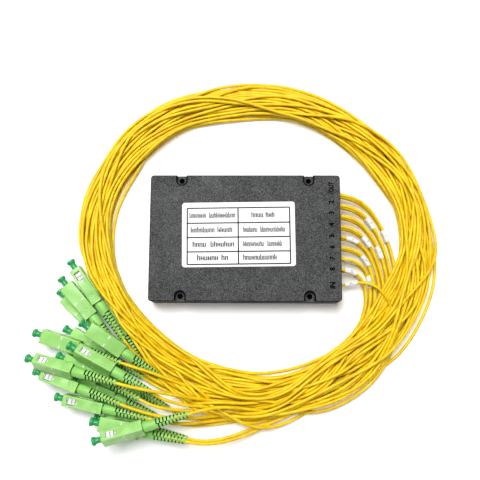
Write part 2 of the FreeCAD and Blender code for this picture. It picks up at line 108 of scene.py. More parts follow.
# Heights of those points, for a row's upper and lower exit
UPPER_FALL, LOWER_FALL = (9.9, 6.6, 5.4, 5.2), (3.6, 2.5, 2.4, 2.4)
IN_ROUTE = ((54.5, -29, 5.3), (62.5, -29, 5.3), (72.5, -26.6, 9.6), (82, -29, 10.6), (89, -35.5, 8),
            (93, -43.5, 5))
TAIL_ROUTES = {
    "in": ((20, -108, 5), (9, -106.5, 7.5), (-3, -104.5, 13), (-15, -103.3, 19)),
    "01": ((-37, -91.5, 4.6), (-46.5, -88, 5), (-56, -82.5, 6.4), (-64.5, -75.7, 8.4)),
    "02": ((-25.5, -102.5, 5.5), (-36, -98.5, 7.2), (-46.5, -93.2, 7.2), (-56.5, -87.8, 8.2),
           (-65, -82.3, 9.3)),
    "03": ((-37, -101, 1.8), (-46, -97, 1.5), (-55, -91.2, 1.3), (-63.3, -84.8, 2)),
    "04": ((-26, -99, 5), (-36.5, -95.3, 6)),
    "05": ((-38, -98.8, 3.9), (-47.5, -95.8, 4.2)),
    "06": ((-23.5, -95.5, 5.2), (-34, -92.3, 7.5), (-45.5, -88, 12), (-57.5, -83.3, 15.8)),
    "07": ((-15, -104, 6.5), (-26.5, -104, 10.5), (-38, -102.5, 16.5)),
    "08": ((-13, -107, 5), (-24, -107, 6.5), (-36, -106.5, 12), (-47, -105, 17.5)),
    "09": ((-9, -101.5, 5.5), (-20, -100.5, 8.5), (-32, -98.5, 15), (-44.5, -96, 22.5), (-57, -93.5, 27)),
    "10": ((-14, -114.5, 2.6), (-26, -116, 3.2), (-37, -115.8, 4.6)),
    "11": ((-10, -109.5, 5.2), (-21, -110.3, 7.5), (-33, -111, 12.5), (-45, -110.5, 17), (-56.5, -108, 18.8)),
    "12": ((-16, -112.5, 5.4), (-28, -113.8, 9), (-40, -114.2, 13.5)),
    "13": ((7, -119, 4.8), (-5, -123.5, 6.5), (-17, -126, 9.5)),
    "14": ((6, -117.5, 2.4), (-5, -121.5, 2.6), (-17, -125, 3.2)),
    "15": ((-20, -112.3, 2.6), (-31, -112, 4)),
    "16": ((-35, -96, 2.6), (-44, -93.5, 3), (-53, -89.5, 4)),
}
BOOT_L, BOOT_RUN = 28, 8
# The run of each lead's first stretch that its number sleeve rides on
MARKER_RUN = {"in": 1, "01": 3, "02": 3, "03": 2, "04": 2, "05": 3, "06": 3, "07": 2, "08": 2,
              "09": 1, "10": 3, "11": 2, "12": 2, "13": 3, "14": 1, "15": 1, "16": 2}


def axes(name):
    """The plug's own axes as the columns of a matrix."""
    _, _, _, heading, pitch, lean = PLUGS[name]
    spin = Matrix.Rotation(math.radians(heading), 3, "Z") @ Matrix.Rotation(-math.radians(pitch), 3, "Y")
    return np.array(spin @ Matrix.Rotation(math.radians(lean), 3, "X"))


def first_points(name):
    """Points of a lead from inside the box's wall to the ring."""
    if name == "in":
        return [list(p) for p in IN_ROUTE]
    number = int(name)
    row = (number + 1) // 2
    z, fall = (UPPER_Z, UPPER_FALL) if number % 2 else (LOWER_Z, LOWER_FALL)
    y = ROW_1 - ROW_STEP * (row - 1)
    return [[START_X, y, z], [STRAIGHT_X, y, z]] + [[a, b, c] for (a, b), c in zip(ROW_PLAN[row], fall)]


def tail_points(name):
    """Points of a lead from the ring to the end of its plug's boot."""
    start, ahead = np.array(PLUGS[name][:3]), axes(name)[:, 0]
    return ([list(p) for p in TAIL_ROUTES[name]]
            + [list(start - (BOOT_L + BOOT_RUN) * ahead), list(start - BOOT_L * ahead)])


# -------- the ring of loose turns, in mm
CENTRE = np.array([6.5, -4.0])
# Radii of the ring's inner and outer edge every 15 degrees
STEP_ANGLES = np.arange(0, 361, 15)
OUTER = np.array([117.5, 115, 114, 110.5, 111.5, 112.5, 112, 112.5, 116, 118.5, 116, 119, 115.5, 106.5, 101.5,
                  103, 110, 117, 118, 111, 115.5, 115.5, 115.5, 118, 117.5])
INNER = np.array([93, 94, 90, 88.5, 88.5, 89, 85.5, 86.5, 92, 93, 91.5, 91.5, 92, 89, 84, 80.5, 79.5, 78, 79,
                  79.5, 80.5, 82, 82, 86, 93])
# Free margins inside those edges at some angles; only a few stray turns lie in them
MARGIN_AT = np.array([0, 15, 35, 50, 70, 95, 110, 240, 252, 262, 278, 288, 302, 312, 322, 340, 352, 360])
MARGIN_OUT = np.array([2.5, 1, 0, 3.5, 4.5, 4, 0, 0, 5, 6, 4, 5, 5.5, 4, 6.5, 5, 3, 2.5])
MARGIN_IN_AT = np.array([0, 75, 92, 110, 140, 152, 168, 182, 262, 275, 292, 305, 360])
MARGIN_IN = np.array([0, 0, 3, 0, 0, 4.5, 4.5, 0, 0, 4, 3, 0, 0])
# Stray turns: cord, which time round, middle angle, half width, 1 at the outer edge or 0 at the inner
STRAYS = (("04", 1, 72, 42, 1), ("11", 0, 332, 30, 1), ("08", 1, 300, 26, 1), ("12", 1, 258, 26, 1),
          ("01", 1, 4, 30, 1), ("06", 0, 160, 30, 0), ("13", 1, 92, 26, 0), ("03", 1, 282, 26, 0),
          ("09", 1, 66, 30, 1))
SPACING, CORD_GAP, LENGTH = 8.0, 2.06, 1500.0
MEAN_R, PLAIN_R, FULL_TURNS = 98, 97, 2
EASE_RUN, EDGE_ROOM = 70, 1.2
LENGTH_PULL, LENGTH_SPREAD = 0.7, 36
WAVES, WAVE_SIZE, WAVE_FADE, WAVE_RATE = 5, 0.2, 0.3, 0.55
LANE_FROM, LANE_TO, HALVINGS, LANE_REACH, LANE_SOFT = -0.6, 1.6, 12, 0.48, 0.45
CORD_SEED, QUICK_STEPS, FULL_STEPS = 3, 40, 250
LAYER, LOWEST = 2.2, 4
HIGH_END, HIGH_BAR, OVER, UNDER = 7.5, 9, 900.0, -1.0
# Stretches of a plug that cords lie against: from and to along its axis, and half its thickness
PLUG_BARS = ((-27.5, -19, 2.1), (-19, -9, 2.7), (-9, -2.8, 3.2), (-1, 12, 3.9), (12, 24, 3.9))


def band(angle):
    """Radii of the ring's inner and outer edge at angles in radians."""
    degrees = np.degrees(angle) % 360
    return np.interp(degrees, STEP_ANGLES, INNER), np.interp(degrees, STEP_ANGLES, OUTER)


def margins(angle):
    """Free margins inside the inner and the outer edge."""
    degrees = np.degrees(angle) % 360
    return np.interp(degrees, MARGIN_IN_AT, MARGIN_IN), np.interp(degrees, MARGIN_AT, MARGIN_OUT)


def smooth_step(x):
    return x * x * (3 - 2 * x)


def stray_weights(name, angle, turns):
    """How far each point belongs to a stray turn, at the inner edge and at the outer one."""
    weights = np.zeros((2, len(angle)))
    for cord, lap, middle, half, edge in STRAYS:
        if cord != name:
            continue
        centre = (np.degrees(angle[0]) - middle) % 360 / 360 + lap
        off = np.clip(1.5 - np.abs(turns - centre) * 360 / half, 0, 1)
        weights[edge] = np.maximum(weights[edge], smooth_step(off))
    return weights


def run_length(points):
    return float(np.linalg.norm(np.diff(points, axis=0), axis=1).sum())


def bearing_of(point):
    return math.atan2(point[1] - CENTRE[1], point[0] - CENTRE[0])


def wandering(turns, rng):
    """A slow drift of a cord across the ring, from a few waves of its own."""
    k = np.arange(1, WAVES + 1)
    size = rng.normal(size=WAVES) / k ** WAVE_FADE * WAVE_SIZE
    phase = rng.uniform(0, 2 * math.pi, WAVES)
    return sum(a * np.sin(2 * math.pi * turns * j * WAVE_RATE + f) for a, j, f in zip(size, k, phase))


def over_or_under(heights, limit):
    """Marks each held point as over the ring's cords or under them, by its height."""
    return np.where(heights > limit, OVER, UNDER)


def wound(name, order, rng, longer):
    """One cord before it falls: its points, which are held, their order in the pile, their stray weights.

    Its lane is found by halving, from the length the cord should have."""
    start, end = np.array(first_points(name), float), np.array(tail_points(name), float)
    p, q = start[-1], end[0]
    sweep = ((bearing_of(p) - bearing_of(q)) % (2 * math.pi)) + 2 * FULL_TURNS * math.pi
    count = int(sweep * MEAN_R / SPACING)
    t = np.linspace(0, 1, count + 1)[1:-1]
    angle, turns = bearing_of(p) - sweep * t, sweep * t / (2 * math.pi)
    inner, outer = band(angle)
    wander = wandering(turns, rng)
    ease_in = smooth_step(np.clip(t * sweep * MEAN_R / EASE_RUN, 0, 1))
    ease_out = smooth_step(np.clip((1 - t) * sweep * MEAN_R / EASE_RUN, 0, 1))
    r0, r1 = np.hypot(*(p[:2] - CENTRE)), np.hypot(*(q[:2] - CENTRE))
    level = (len(NAMES) - 1 - order + len(NAMES) * turns) * LAYER + LOWEST
    z = p[2] + (level - p[2]) * ease_in
    z = q[2] + (z - q[2]) * ease_out
    keep_in, keep_out = margins(angle)
    stray_in, stray_out = stray_weights(name, angle, turns)
    plain_length = run_length(start) + run_length(end) + sweep * PLAIN_R
    want = LENGTH + LENGTH_PULL * (plain_length - LENGTH) + LENGTH_SPREAD * longer
    low, high = LANE_FROM, LANE_TO
    for _ in range(HALVINGS):
        lane = 0.5 + LANE_REACH * np.tanh(((low + high) / 2 + wander - 0.5) / LANE_SOFT)
        radius = inner + keep_in + EDGE_ROOM + (outer - keep_out - inner - keep_in - 2 * EDGE_ROOM) * lane
        radius = radius + (outer - EDGE_ROOM - radius) * stray_out + (inner + EDGE_ROOM - radius) * stray_in
        radius = r0 + (radius - r0) * ease_in
        radius = r1 + (radius - r1) * ease_out
        flat = np.stack([CENTRE[0] + radius * np.cos(angle), CENTRE[1] + radius * np.sin(angle), z], 1)
        whole = run_length(np.vstack([start, flat * [1, 1, 0] + [0, 0, LOWEST], end]))
        low, high = (low, (low + high) / 2) if whole > want else ((low + high) / 2, high)
    held = np.r_[np.ones(len(start), bool), np.zeros(len(flat), bool), np.ones(len(end), bool)]
    levels = np.r_[over_or_under(start[:, 2], HIGH_END), level, over_or_under(end[:, 2], HIGH_END)]
    strays = np.hstack([np.zeros((2, len(start))), np.array([stray_in, stray_out]), np.zeros((2, len(end)))])
    return np.vstack([start, flat, end]), held, levels, strays


def plug_bars():
    """Boots and grips that lie over or under the ring, as held runs with a thickness."""
    bars = []
    for name in NAMES:
        start, ahead = np.array(PLUGS[name][:3]), axes(name)[:, 0]
        bars += [(start + a * ahead, start + b * ahead, thick) for a, b, thick in PLUG_BARS]
    return bars


def near_pairs(middles, reach):
    """Pairs of runs whose middles lie within reach, found along the ring by angle."""
    wide, batch = 0.15, 256
    angle = np.arctan2(middles[:, 1] - CENTRE[1], middles[:, 0] - CENTRE[0])
    order = np.argsort(angle)
    angle, placed = angle[order], middles[order]
    stop = np.searchsorted(angle, angle + wide)
    found_i, found_j = [], []
    for s in range(0, len(order), batch):
        e = min(len(order), s + batch)
        gaps = ((placed[s:e, None, :] - placed[None, s:stop[e - 1], :]) ** 2).sum(2)
        u, v = np.nonzero(gaps < reach ** 2)
        u, v = u + s, v + s
        ahead = v > u
        found_i.append(order[u[ahead]])
        found_j.append(order[v[ahead]])
    low, high = np.nonzero(angle < -math.pi + wide)[0], np.nonzero(angle > math.pi - wide)[0]
    if len(low) and len(high):
        gaps = ((placed[low][:, None, :] - placed[high][None, :, :]) ** 2).sum(2)
        u, v = np.nonzero(gaps < reach ** 2)
        found_i.append(order[low[u]])
        found_j.append(order[high[v]])
    return np.concatenate(found_i), np.concatenate(found_j)


def scatter(total, spots, values):
    """Sums the rows of values that belong to the same spot."""
    out = np.empty((total, 3))
    for axis in range(3):
        out[:, axis] = np.bincount(spots, values[:, axis], total)
    return out


def closest(X, a, b, I, J):
    """Nearest points of paired runs: their shares along each run, the vector between them, its length."""
    P, D1, Q, D2 = X[a[I]], X[b[I]] - X[a[I]], X[a[J]], X[b[J]] - X[a[J]]
    R = P - Q
    A, E, G = (D1 * D1).sum(1), (D2 * D2).sum(1), (D1 * D2).sum(1)
    C, H = (D1 * R).sum(1), (D2 * R).sum(1)
    den = A * E - G * G
    s = np.where(den > 1e-9, np.clip((G * H - C * E) / np.maximum(den, 1e-9), 0, 1), 0.5)
    t = np.clip((G * s + H) / E, 0, 1)
    s = np.clip((G * t - C) / A, 0, 1)
    apart = (P + D1 * s[:, None]) - (Q + D2 * t[:, None])
    return s, t, apart, np.linalg.norm(apart, axis=1)


class Pile:
    """Cords and plug bars as points and runs, which settle; pairs of values are for the fall and the calm."""

    FALL_TO, CALM_FROM, FINE_FROM = 0.52, 0.74, 0.6
    FAST, SLOW, GRAVITY, DRAG, SIDE_DRAG = 1.5, 0.25, 0.3, 0.9, 0.6
    REACH, REFRESH, LOOK_AHEAD, GAIN, LEAST_LEVER, DEEP = 12.5, 6, 1.5, 1.5, 0.2, 0.45
    PULL, STIFF, PUSH_IN = (0.5, 0.25), (0.3, 0.03), (0.5, 0.1)
    BAR, FLOOR, EDGE, NEIGHBOURS, EASE_OWN, EASE_NEXT = 100, 1.0, 1, 4, 0.6, 0.2

    def __init__(self, plan):
        cords, held, levels, strays = (list(column) for column in zip(*plan))
        bars = plug_bars()
        ends = np.array([p for bar in bars for p in bar[:2]])
        self.count = len(cords)
        self.X = X = np.vstack(cords + [ends])
        self.held = held = np.concatenate(held + [np.ones(len(ends), bool)])
        heights = np.repeat([bar[0][2] for bar in bars], 2)
        self.level = np.concatenate(levels + [over_or_under(heights, HIGH_BAR)])
        self.owner = owner = np.concatenate([np.full(len(c), i) for i, c in enumerate(cords)]
                                            + [np.repeat(self.BAR + np.arange(len(bars)), 2)])
        index = np.arange(len(X))
        self.a = a = index[:-1][owner[:-1] == owner[1:]]
        self.b = b = a + 1
        self.inside = index[1:-1][(owner[:-2] == owner[2:])]
        self.thick = np.full(len(a), CORD_GAP / 2)
        self.thick[owner[a] >= self.BAR] = [bar[2] for bar in bars]
        flat = np.hypot(*(X[b] - X[a])[:, :2].T)
        self.rest = np.where(held[a] & held[b], np.linalg.norm(X[b] - X[a], axis=1), flat)
        self.free = ~held
        self.w = self.free.astype(float)
        self.stray = np.hstack(strays + [np.ones((2, len(ends)))])
        self.speed = np.zeros_like(X)

    def fall(self, part):
        """One step down, which slows and then stops."""
        drop = self.FAST if part < self.FALL_TO else 0.0 if part > self.CALM_FROM else self.SLOW
        self.speed *= self.DRAG
        self.speed[:, 2] = np.maximum(self.speed[:, 2] - self.GRAVITY, -drop)
        self.X = self.X + self.speed * self.w[:, None] * (drop > 0)

    def find_pairs(self):
        """Runs near each other, without neighbours in one cord and pairs both held."""
        a, b, held, owner = self.a, self.b, self.held, self.owner
        I, J = near_pairs((self.X[a] + self.X[b]) / 2, self.REACH)
        close = (owner[a[I]] == owner[a[J]]) & (np.abs(I - J) < self.NEIGHBOURS)
        both = held[a[I]] & held[b[I]] & held[a[J]] & held[b[J]]
        self.I, self.J = I[~close & ~both], J[~close & ~both]

    def touching(self):
        """Pairs that may touch in this step: their runs, the gap they need, which of them belongs above."""
        I, J, thick, level, a = self.I, self.J, self.thick, self.level, self.a
        near = closest(self.X, a, self.b, I, J)[3] < thick[I] + thick[J] + self.LOOK_AHEAD
        i, j = I[near], J[near]
        return i, j, thick[i] + thick[j], np.where(level[a[i]] >= level[a[j]], 1.0, -1.0)

    def push_apart(self, i0, j0, gap0, sense, calm):
        """Parts runs that overlap, straight up or down where deep or on the wrong side."""
        a, b, w, level, total = self.a, self.b, self.w, self.level, len(self.X)
        s, t, apart, dist = closest(self.X, a, b, i0, j0)
        hit = dist < gap0
        if not hit.any():
            return
        i, j, sk, tk, dk, apart, sense, gap = (row[hit] for row in (i0, j0, s, t, dist, apart, sense, gap0))
        push = apart / np.maximum(dk, 1e-6)[:, None]
        astray = (np.maximum(level[a[i]], level[a[j]]) > OVER / 2) & (sense * apart[:, 2] < 0)
        deep = (dk < self.DEEP * gap) | astray
        push[deep] = 0
        push[deep, 2] = sense[deep]
        wa, wb, wc, wd = (1 - sk) * w[a[i]], sk * w[b[i]], (1 - tk) * w[a[j]], tk * w[b[j]]
        lever = wa * (1 - sk) + wb * sk + wc * (1 - tk) + wd * tk
        lam = (gap - dk) / np.maximum(lever, self.LEAST_LEVER)
        spots = np.concatenate([a[i], b[i], a[j], b[j]])
        share = np.concatenate([wa, wb, wc, wd])
        signs = np.concatenate([lam * wa, lam * wb, -lam * wc, -lam * wd])
        moved = scatter(total, spots, signs[:, None] * np.tile(push, (4, 1)))
        moved = self.GAIN * moved / np.maximum(np.bincount(spots, share, total), 1)[:, None]
        if calm:
            k, eased = self.inside, moved.copy()
            eased[k] = self.EASE_OWN * moved[k] + self.EASE_NEXT * (moved[k - 1] + moved[k + 1])
            moved = eased
        self.X = self.X + moved * w[:, None]

    def hold_lengths(self, calm):
        """Draws each run back to its length."""
        a, b, w = self.a, self.b, self.w
        D = self.X[b] - self.X[a]
        L = np.linalg.norm(D, axis=1)
        pull = ((L - self.rest) / L / np.maximum(w[a] + w[b], 1e-6) * self.PULL[calm])[:, None] * D
        moved = scatter(len(self.X), np.concatenate([a, b]), np.vstack([pull, -pull]))
        self.X = self.X + moved * w[:, None]

    def resist_bending(self, calm):
        """Evens out the bends along each cord."""
        X, k = self.X, self.inside
        bend = np.zeros_like(X)
        bend[k] = (X[k - 1] + X[k + 1]) / 2 - X[k]
        eased = np.zeros_like(X)
        eased[k] = bend[k] - 0.5 * (bend[k - 1] + bend[k + 1])
        self.X = X + self.STIFF[calm] * eased * self.w[:, None]

    def stay_in_ring(self, calm):
        """Keeps the turns between the ring's edges and above the floor."""
        X, free, stray = self.X, self.free, self.stray
        arm = X[:, :2] - CENTRE
        radius = np.linalg.norm(arm, axis=1)
        angle = np.arctan2(arm[:, 1], arm[:, 0])
        (inner, outer), (keep_in, keep_out) = band(angle), margins(angle)
        lowest = inner + self.EDGE + keep_in * (1 - stray[0])
        highest = outer - self.EDGE - keep_out * (1 - stray[1])
        scale = (radius + (np.clip(radius, lowest, highest) - radius) * self.PUSH_IN[calm]) / radius
        X[free, :2] = CENTRE + arm[free] * scale[free][:, None]
        X[:, 2] = np.where(self.held, X[:, 2], np.maximum(X[:, 2], self.FLOOR))

    def report(self):
        """Prints how deep the cords still overlap."""
        dist = closest(self.X, self.a, self.b, self.I, self.J)[3]
        worst = np.maximum(0, self.thick[self.I] + self.thick[self.J] - dist)
        deepest, many = round(float(worst.max()), 2), int((worst > 0.5).sum())
        print("cords settled: deepest contact", deepest, "mm, over 0.5 mm:", many)

    def settle(self, steps):
        """Lets the turns fall and come to rest; returns each cord's points."""
        for step in range(steps):
            part = step / steps
            before, calm = self.X.copy(), part > self.CALM_FROM
            self.fall(part)
            if step % self.REFRESH == 0:
                self.find_pairs()
            touching = self.touching()
            for _ in range(3 if part < self.FINE_FROM else 5):
                self.push_apart(*touching, calm)
                self.hold_lengths(calm)
                self.resist_bending(calm)
                self.stay_in_ring(calm)
            self.speed = (self.X - before) * self.DRAG
            self.speed[:, :2] *= self.SIDE_DRAG
        self.report()
        return [self.X[self.owner == i] for i in range(self.count)]


rng = np.random.default_rng(CORD_SEED)
spread = rng.permutation(np.linspace(-1, 1, len(NAMES)))
plan = [wound(name, i, rng, spread[i]) for i, name in enumerate(NAMES)]
lines = Pile(plan).settle(FULL_STEPS)



# -------- cords
CORD_R, CORD_END_X = 1.0, -19.5


def spline_object(name, points, radius):
    """A smooth curve through a cord's points, in mm; radius 0 leaves a bare line."""
    curve = bpy.data.curves.new(name, "CURVE")
    curve.dimensions = "3D"
    spline = curve.splines.new("NURBS")
    spline.points.add(len(points) - 1)
    for spot, place in zip(spline.points, points):
        spot.co = (*[c * MM for c in place], 1.0)
    spline.order_u = 3
    spline.use_endpoint_u = True
    curve.resolution_u = 3
    if radius:
        curve.bevel_depth = radius * MM
        curve.bevel_resolution = 4
        curve.use_fill_caps = True
    return put(name, curve)


cords, centrelines = {}, {}
for name, line in zip(NAMES, lines):
    inside = np.array(PLUGS[name][:3]) + CORD_END_X * axes(name)[:, 0]
    points = [list(p) for p in line] + [list(inside)]
    cords[name] = spline_object("cord_" + name, points, CORD_R)
    bare = spline_object("bare_" + name, points, 0)
    mesh = bpy.data.meshes.new_from_object(bare)
    centrelines[name] = np.array([v.co[:] for v in mesh.vertices])
    bpy.data.objects.remove(bare)
    bpy.data.meshes.remove(mesh)
print("cord lengths", [round(run_length(centrelines[n]), 3) for n in NAMES])


# -------- materials
def set_inputs(node, **values):
    """Sets a node's inputs; an underscore stands for a space."""
    for key, value in values.items():
        node.inputs[key.replace("_", " ")].default_value = value


def link(tree, giver, output, taker, socket):
    """Joins one node's output to another's input."""
    tree.links.new(giver.outputs[output], taker.inputs[socket])


def shader(name, colour, rough, **sockets):
    """A new material, its node tree and its main shader node."""
    mat = bpy.data.materials.new(name)
    mat.use_nodes = True
    node = mat.node_tree.nodes["Principled BSDF"]
    set_inputs(node, Base_Color=(*colour, 1), Roughness=rough, **sockets)
    return mat, mat.node_tree, node


def noise(tree, scale, detail=2.0, rough=0.5):
    """Noise in the object's own space; scale is in waves per metre."""
    coords = tree.nodes.new("ShaderNodeTexCoord")
    texture = tree.nodes.new("ShaderNodeTexNoise")
    set_inputs(texture, Scale=scale, Detail=detail, Roughness=rough)
    link(tree, coords, "Object", texture, "Vector")
    return texture


def tint(tree, node, texture, low, high, start=0.35, stop=0.65):
    """Base colour runs from low to high over the texture's middle range."""
    ramp = tree.nodes.new("ShaderNodeValToRGB")
    ramp.color_ramp.elements[0].position, ramp.color_ramp.elements[1].position = start, stop
    ramp.color_ramp.elements[0].color = (*low, 1)
    ramp.color_ramp.elements[1].color = (*high, 1)
    link(tree, texture, "Fac", ramp, "Fac")
    link(tree, ramp, "Color", node, "Base Color")
    return ramp


def vary(tree, node, texture, socket, low, high):
    """A socket's value runs from low to high over the texture's middle range."""
    span = tree.nodes.new("ShaderNodeMapRange")
    set_inputs(span, From_Min=0.3, From_Max=0.7, To_Min=low, To_Max=high)
    link(tree, texture, "Fac", span, "Value")
    link(tree, span, "Result", node, socket)


def bump(tree, node, texture, strength, height):
    """Surface relief from the texture, its height in metres."""
    relief = tree.nodes.new("ShaderNodeBump")
    set_inputs(relief, Strength=strength, Distance=height)
    link(tree, texture, "Fac", relief, "Height")
    link(tree, relief, "Normal", node, "Normal")


def plain(name, low, high, rough, scale, strength, height, **sockets):
    """A moulded plastic: slight colour drift, uneven gloss and a fine skin."""
    mat, tree, node = shader(name, high, sum(rough) / 2, **sockets)
    drift, skin = noise(tree, scale / 8, 2), noise(tree, scale, 3)
    tint(tree, node, drift, low, high)
    vary(tree, node, skin, "Roughness", *rough)
    bump(tree, node, skin, strength, height)
    return mat


def case_material():
    """Sparkling grey grain on faces that look up; the sides are painted near black as painted shade."""
    mat, tree, node = shader("case_plastic", (0.05, 0.052, 0.053), 0.6, Specular_IOR_Level=0.28)
    spark, cloud = noise(tree, 1700, 3, 0.75), noise(tree, 90, 2)
    grain = tint(tree, node, spark, (0.015, 0.0155, 0.0155), (0.172, 0.176, 0.175), 0.37, 0.75)
    grain.color_ramp.interpolation = "EASE"
    # Faces that don't look up get near black: painted shade, since the sides get less light than the top.
    facing = tree.nodes.new("ShaderNodeTexCoord")
    split = tree.nodes.new("ShaderNodeSeparateXYZ")
    side_shade_mask = tree.nodes.new("ShaderNodeMapRange")
    link(tree, facing, "Normal", split, "Vector")
    link(tree, split, "Z", side_shade_mask, "Value")
    set_inputs(side_shade_mask, From_Min=0.75, From_Max=0.97)
    painted_side_shade = tree.nodes.new("ShaderNodeMixRGB")
    set_inputs(painted_side_shade, Color1=(0.004, 0.004, 0.0045, 1))
    link(tree, side_shade_mask, "Result", painted_side_shade, "Fac")
    link(tree, grain, "Color", painted_side_shade, "Color2")
    link(tree, painted_side_shade, "Color", node, "Base Color")
    vary(tree, node, cloud, "Roughness", 0.5, 0.68)
    bump(tree, node, spark, 0.55, 0.00012)
    return mat


CASE = case_material()
# Near black for the strips round the screw pockets: painted shadow.
POCKET_SHADOW = plain("pocket_shadow_dark", (0.001, 0.001, 0.0012), (0.003, 0.003, 0.0033), (0.7, 0.8), 2000, 0.2, 0.00005,
             Specular_IOR_Level=0.1)
SCREW = plain("screw_black", (0.001, 0.001, 0.001), (0.003, 0.003, 0.003), (0.6, 0.75), 1500, 0.2, 0.00003,
              Specular_IOR_Level=0.08)
LABEL = plain("label_paper", (0.74, 0.74, 0.735), (0.79, 0.79, 0.785), (0.35, 0.5), 900, 0.05, 0.00002)
PRINT = plain("print_ink", (0.006, 0.006, 0.007), (0.014, 0.014, 0.016), (0.6, 0.75), 1200, 0.05, 0.00001,
              Specular_IOR_Level=0.2)
MARKS = plain("port_ink", (0.001, 0.001, 0.001), (0.003, 0.003, 0.003), (0.8, 0.9), 1200, 0.05, 0.00001,
              Specular_IOR_Level=0.05)
JACKET = plain("jacket_yellow", (0.78, 0.52, 0.008), (0.89, 0.65, 0.016), (0.38, 0.5), 1500, 0.12, 0.00003,
               Specular_IOR_Level=0.4)
GREEN = plain("grip_green", (0.295, 0.575, 0.165), (0.37, 0.675, 0.22), (0.32, 0.44), 1100, 0.10, 0.00003)
# Dark green for the walls inside the boot's slits: painted shade.
SLIT = plain("slit_painted_shade", (0.008, 0.05, 0.008), (0.014, 0.08, 0.012), (0.6, 0.7), 1300, 0.1, 0.00002)
BOOT = plain("boot_green", (0.29, 0.61, 0.155), (0.35, 0.68, 0.20), (0.42, 0.55), 1300, 0.15, 0.00003)
CAP = plain("cap_teal", (0.035, 0.30, 0.10), (0.05, 0.38, 0.13), (0.25, 0.36), 900, 0.08, 0.00002)
WHITE = plain("housing_white", (0.66, 0.66, 0.65), (0.74, 0.74, 0.73), (0.35, 0.5), 1100, 0.1, 0.00002)
# Grey for the groove floors seen in the housing's windows: painted shade.
GROOVE_SHADE = plain("housing_shade", (0.10, 0.10, 0.10), (0.18, 0.18, 0.18), (0.5, 0.6), 1100, 0.1, 0.00002)
SLEEVE = plain("marker_white", (0.84, 0.84, 0.83), (0.92, 0.92, 0.91), (0.35, 0.45), 900, 0.08, 0.00002)
CERAMIC = plain("ferrule_white", (0.86, 0.86, 0.84), (0.92, 0.92, 0.9), (0.15, 0.22), 700, 0.03, 0.00001)
STEEL = plain("chip_steel", (0.5, 0.51, 0.53), (0.62, 0.63, 0.65), (0.28, 0.4), 1500, 0.15, 0.00003,
              Metallic=1.0)
BLOCK = plain("block_black", (0.01, 0.01, 0.011), (0.02, 0.02, 0.022), (0.45, 0.6), 1500, 0.2, 0.00004)
GLASS = plain("fibre_clear", (0.75, 0.8, 0.85), (0.86, 0.9, 0.93), (0.12, 0.2), 900, 0.05, 0.00001)
MARK_INK = plain("white_dash", (0.8, 0.84, 0.8), (0.9, 0.92, 0.9), (0.4, 0.5), 1000, 0.05, 0.00001)


def dress(data, *mats):
    """Sets a mesh's or curve's materials and keeps each face's own index."""
    faces = [f.material_index for f in data.polygons] if isinstance(data, bpy.types.Mesh) else []
    data.materials.clear()
    for mat in mats:
        data.materials.append(mat)
    for f, index in zip(data.polygons if faces else [], faces):
        f.material_index = min(index, len(mats) - 1)


for node, mat in (("base_shell", CASE), ("lid", CASE), ("label", LABEL), ("lid_screws", SCREW),
                  ("chip_module", STEEL), ("fanout_block", BLOCK), ("fibre_loops", GLASS)):
    dress(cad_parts[node].data, mat)

for name, cord in cords.items():
    dress(cord.data, JACKET)
    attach(cord, "splitter")
    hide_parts("lead_" + name, "cord_coil")


# -------- mesh helpers, in mm
TO_MM = 1000


def smooth(mesh, angle=35):
    """Smooth shading, with edges sharper than the angle kept sharp."""
    mesh.shade_smooth()
    mesh.set_sharp_from_angle(angle=math.radians(angle))


def reopen(mesh):
    """A finished mesh drawn in mm once more."""
    bm = bmesh.new()
    bm.from_mesh(mesh)
    bm.transform(Matrix.Scale(TO_MM, 4))
    return bm


def write_back(bm, mesh):
    """Puts a drawing in mm into a mesh in metres."""
    bm.transform(Matrix.Scale(MM, 4))
    bm.to_mesh(mesh)
    bm.free()


def finish_mesh(name, bm, angle=35):
    """A mesh in metres from one drawn in mm."""
    bmesh.ops.recalc_face_normals(bm, faces=bm.faces)
    mesh = bpy.data.meshes.new(name)
    write_back(bm, mesh)
    smooth(mesh, angle)
    return mesh


def add_box(bm, x0, x1, y0, y1, z0, z1):
    spots = [bm.verts.new((x, y, z)) for z in (z0, z1) for x, y in ((x0, y0), (x1, y0), (x1, y1), (x0, y1))]
    for face in ((3, 2, 1, 0), (4, 5, 6, 7), (0, 1, 5, 4), (1, 2, 6, 5), (2, 3, 7, 6), (3, 0, 4, 7)):
        bm.faces.new([spots[i] for i in face])


def box_mesh(name, boxes):
    """One mesh of boxes, each given as x0, x1, y0, y1, z0, z1."""
    bm = bmesh.new()
    for b in boxes:
        add_box(bm, *b)
    return finish_mesh(name, bm)


def join_rings(bm, one, two):
    """A band of faces between two closed rings of as many vertices."""
    sides = len(one)
    for k in range(sides):
        bm.faces.new((one[k], one[(k + 1) % sides], two[(k + 1) % sides], two[k]))


def add_turned(bm, profile, sides=32, closed=True):
    """Profile of (x, r) turned about X; closed joins its last ring to its first."""
    steps = [2 * math.pi * k / sides for k in range(sides)]
    rings = [[bm.verts.new((x, r * math.cos(a), r * math.sin(a))) for a in steps] for x, r in profile]
    for one, two in list(zip(rings, rings[1:])) + ([(rings[-1], rings[0])] if closed else []):
        join_rings(bm, one, two)
    if not closed:
        bm.faces.new(list(reversed(rings[0])))
        bm.faces.new(rings[-1])


def add_core(bm, profile, sides, shaded):
    """Adds a turned core with material 1; of the faces there before, those in shaded get 2, the rest 0."""
    old = len(bm.faces)
    add_turned(bm, profile, sides, closed=False)
    bm.faces.ensure_lookup_table()
    for i, f in enumerate(bm.faces):
        f.material_index = 1 if i >= old else 2 if i in shaded else 0


def evaluated_mesh(piece):
    """A new mesh of what an object looks like with its modifiers."""
    bpy.context.view_layer.update()
    return bpy.data.meshes.new_from_object(piece.evaluated_get(bpy.context.evaluated_depsgraph_get()))


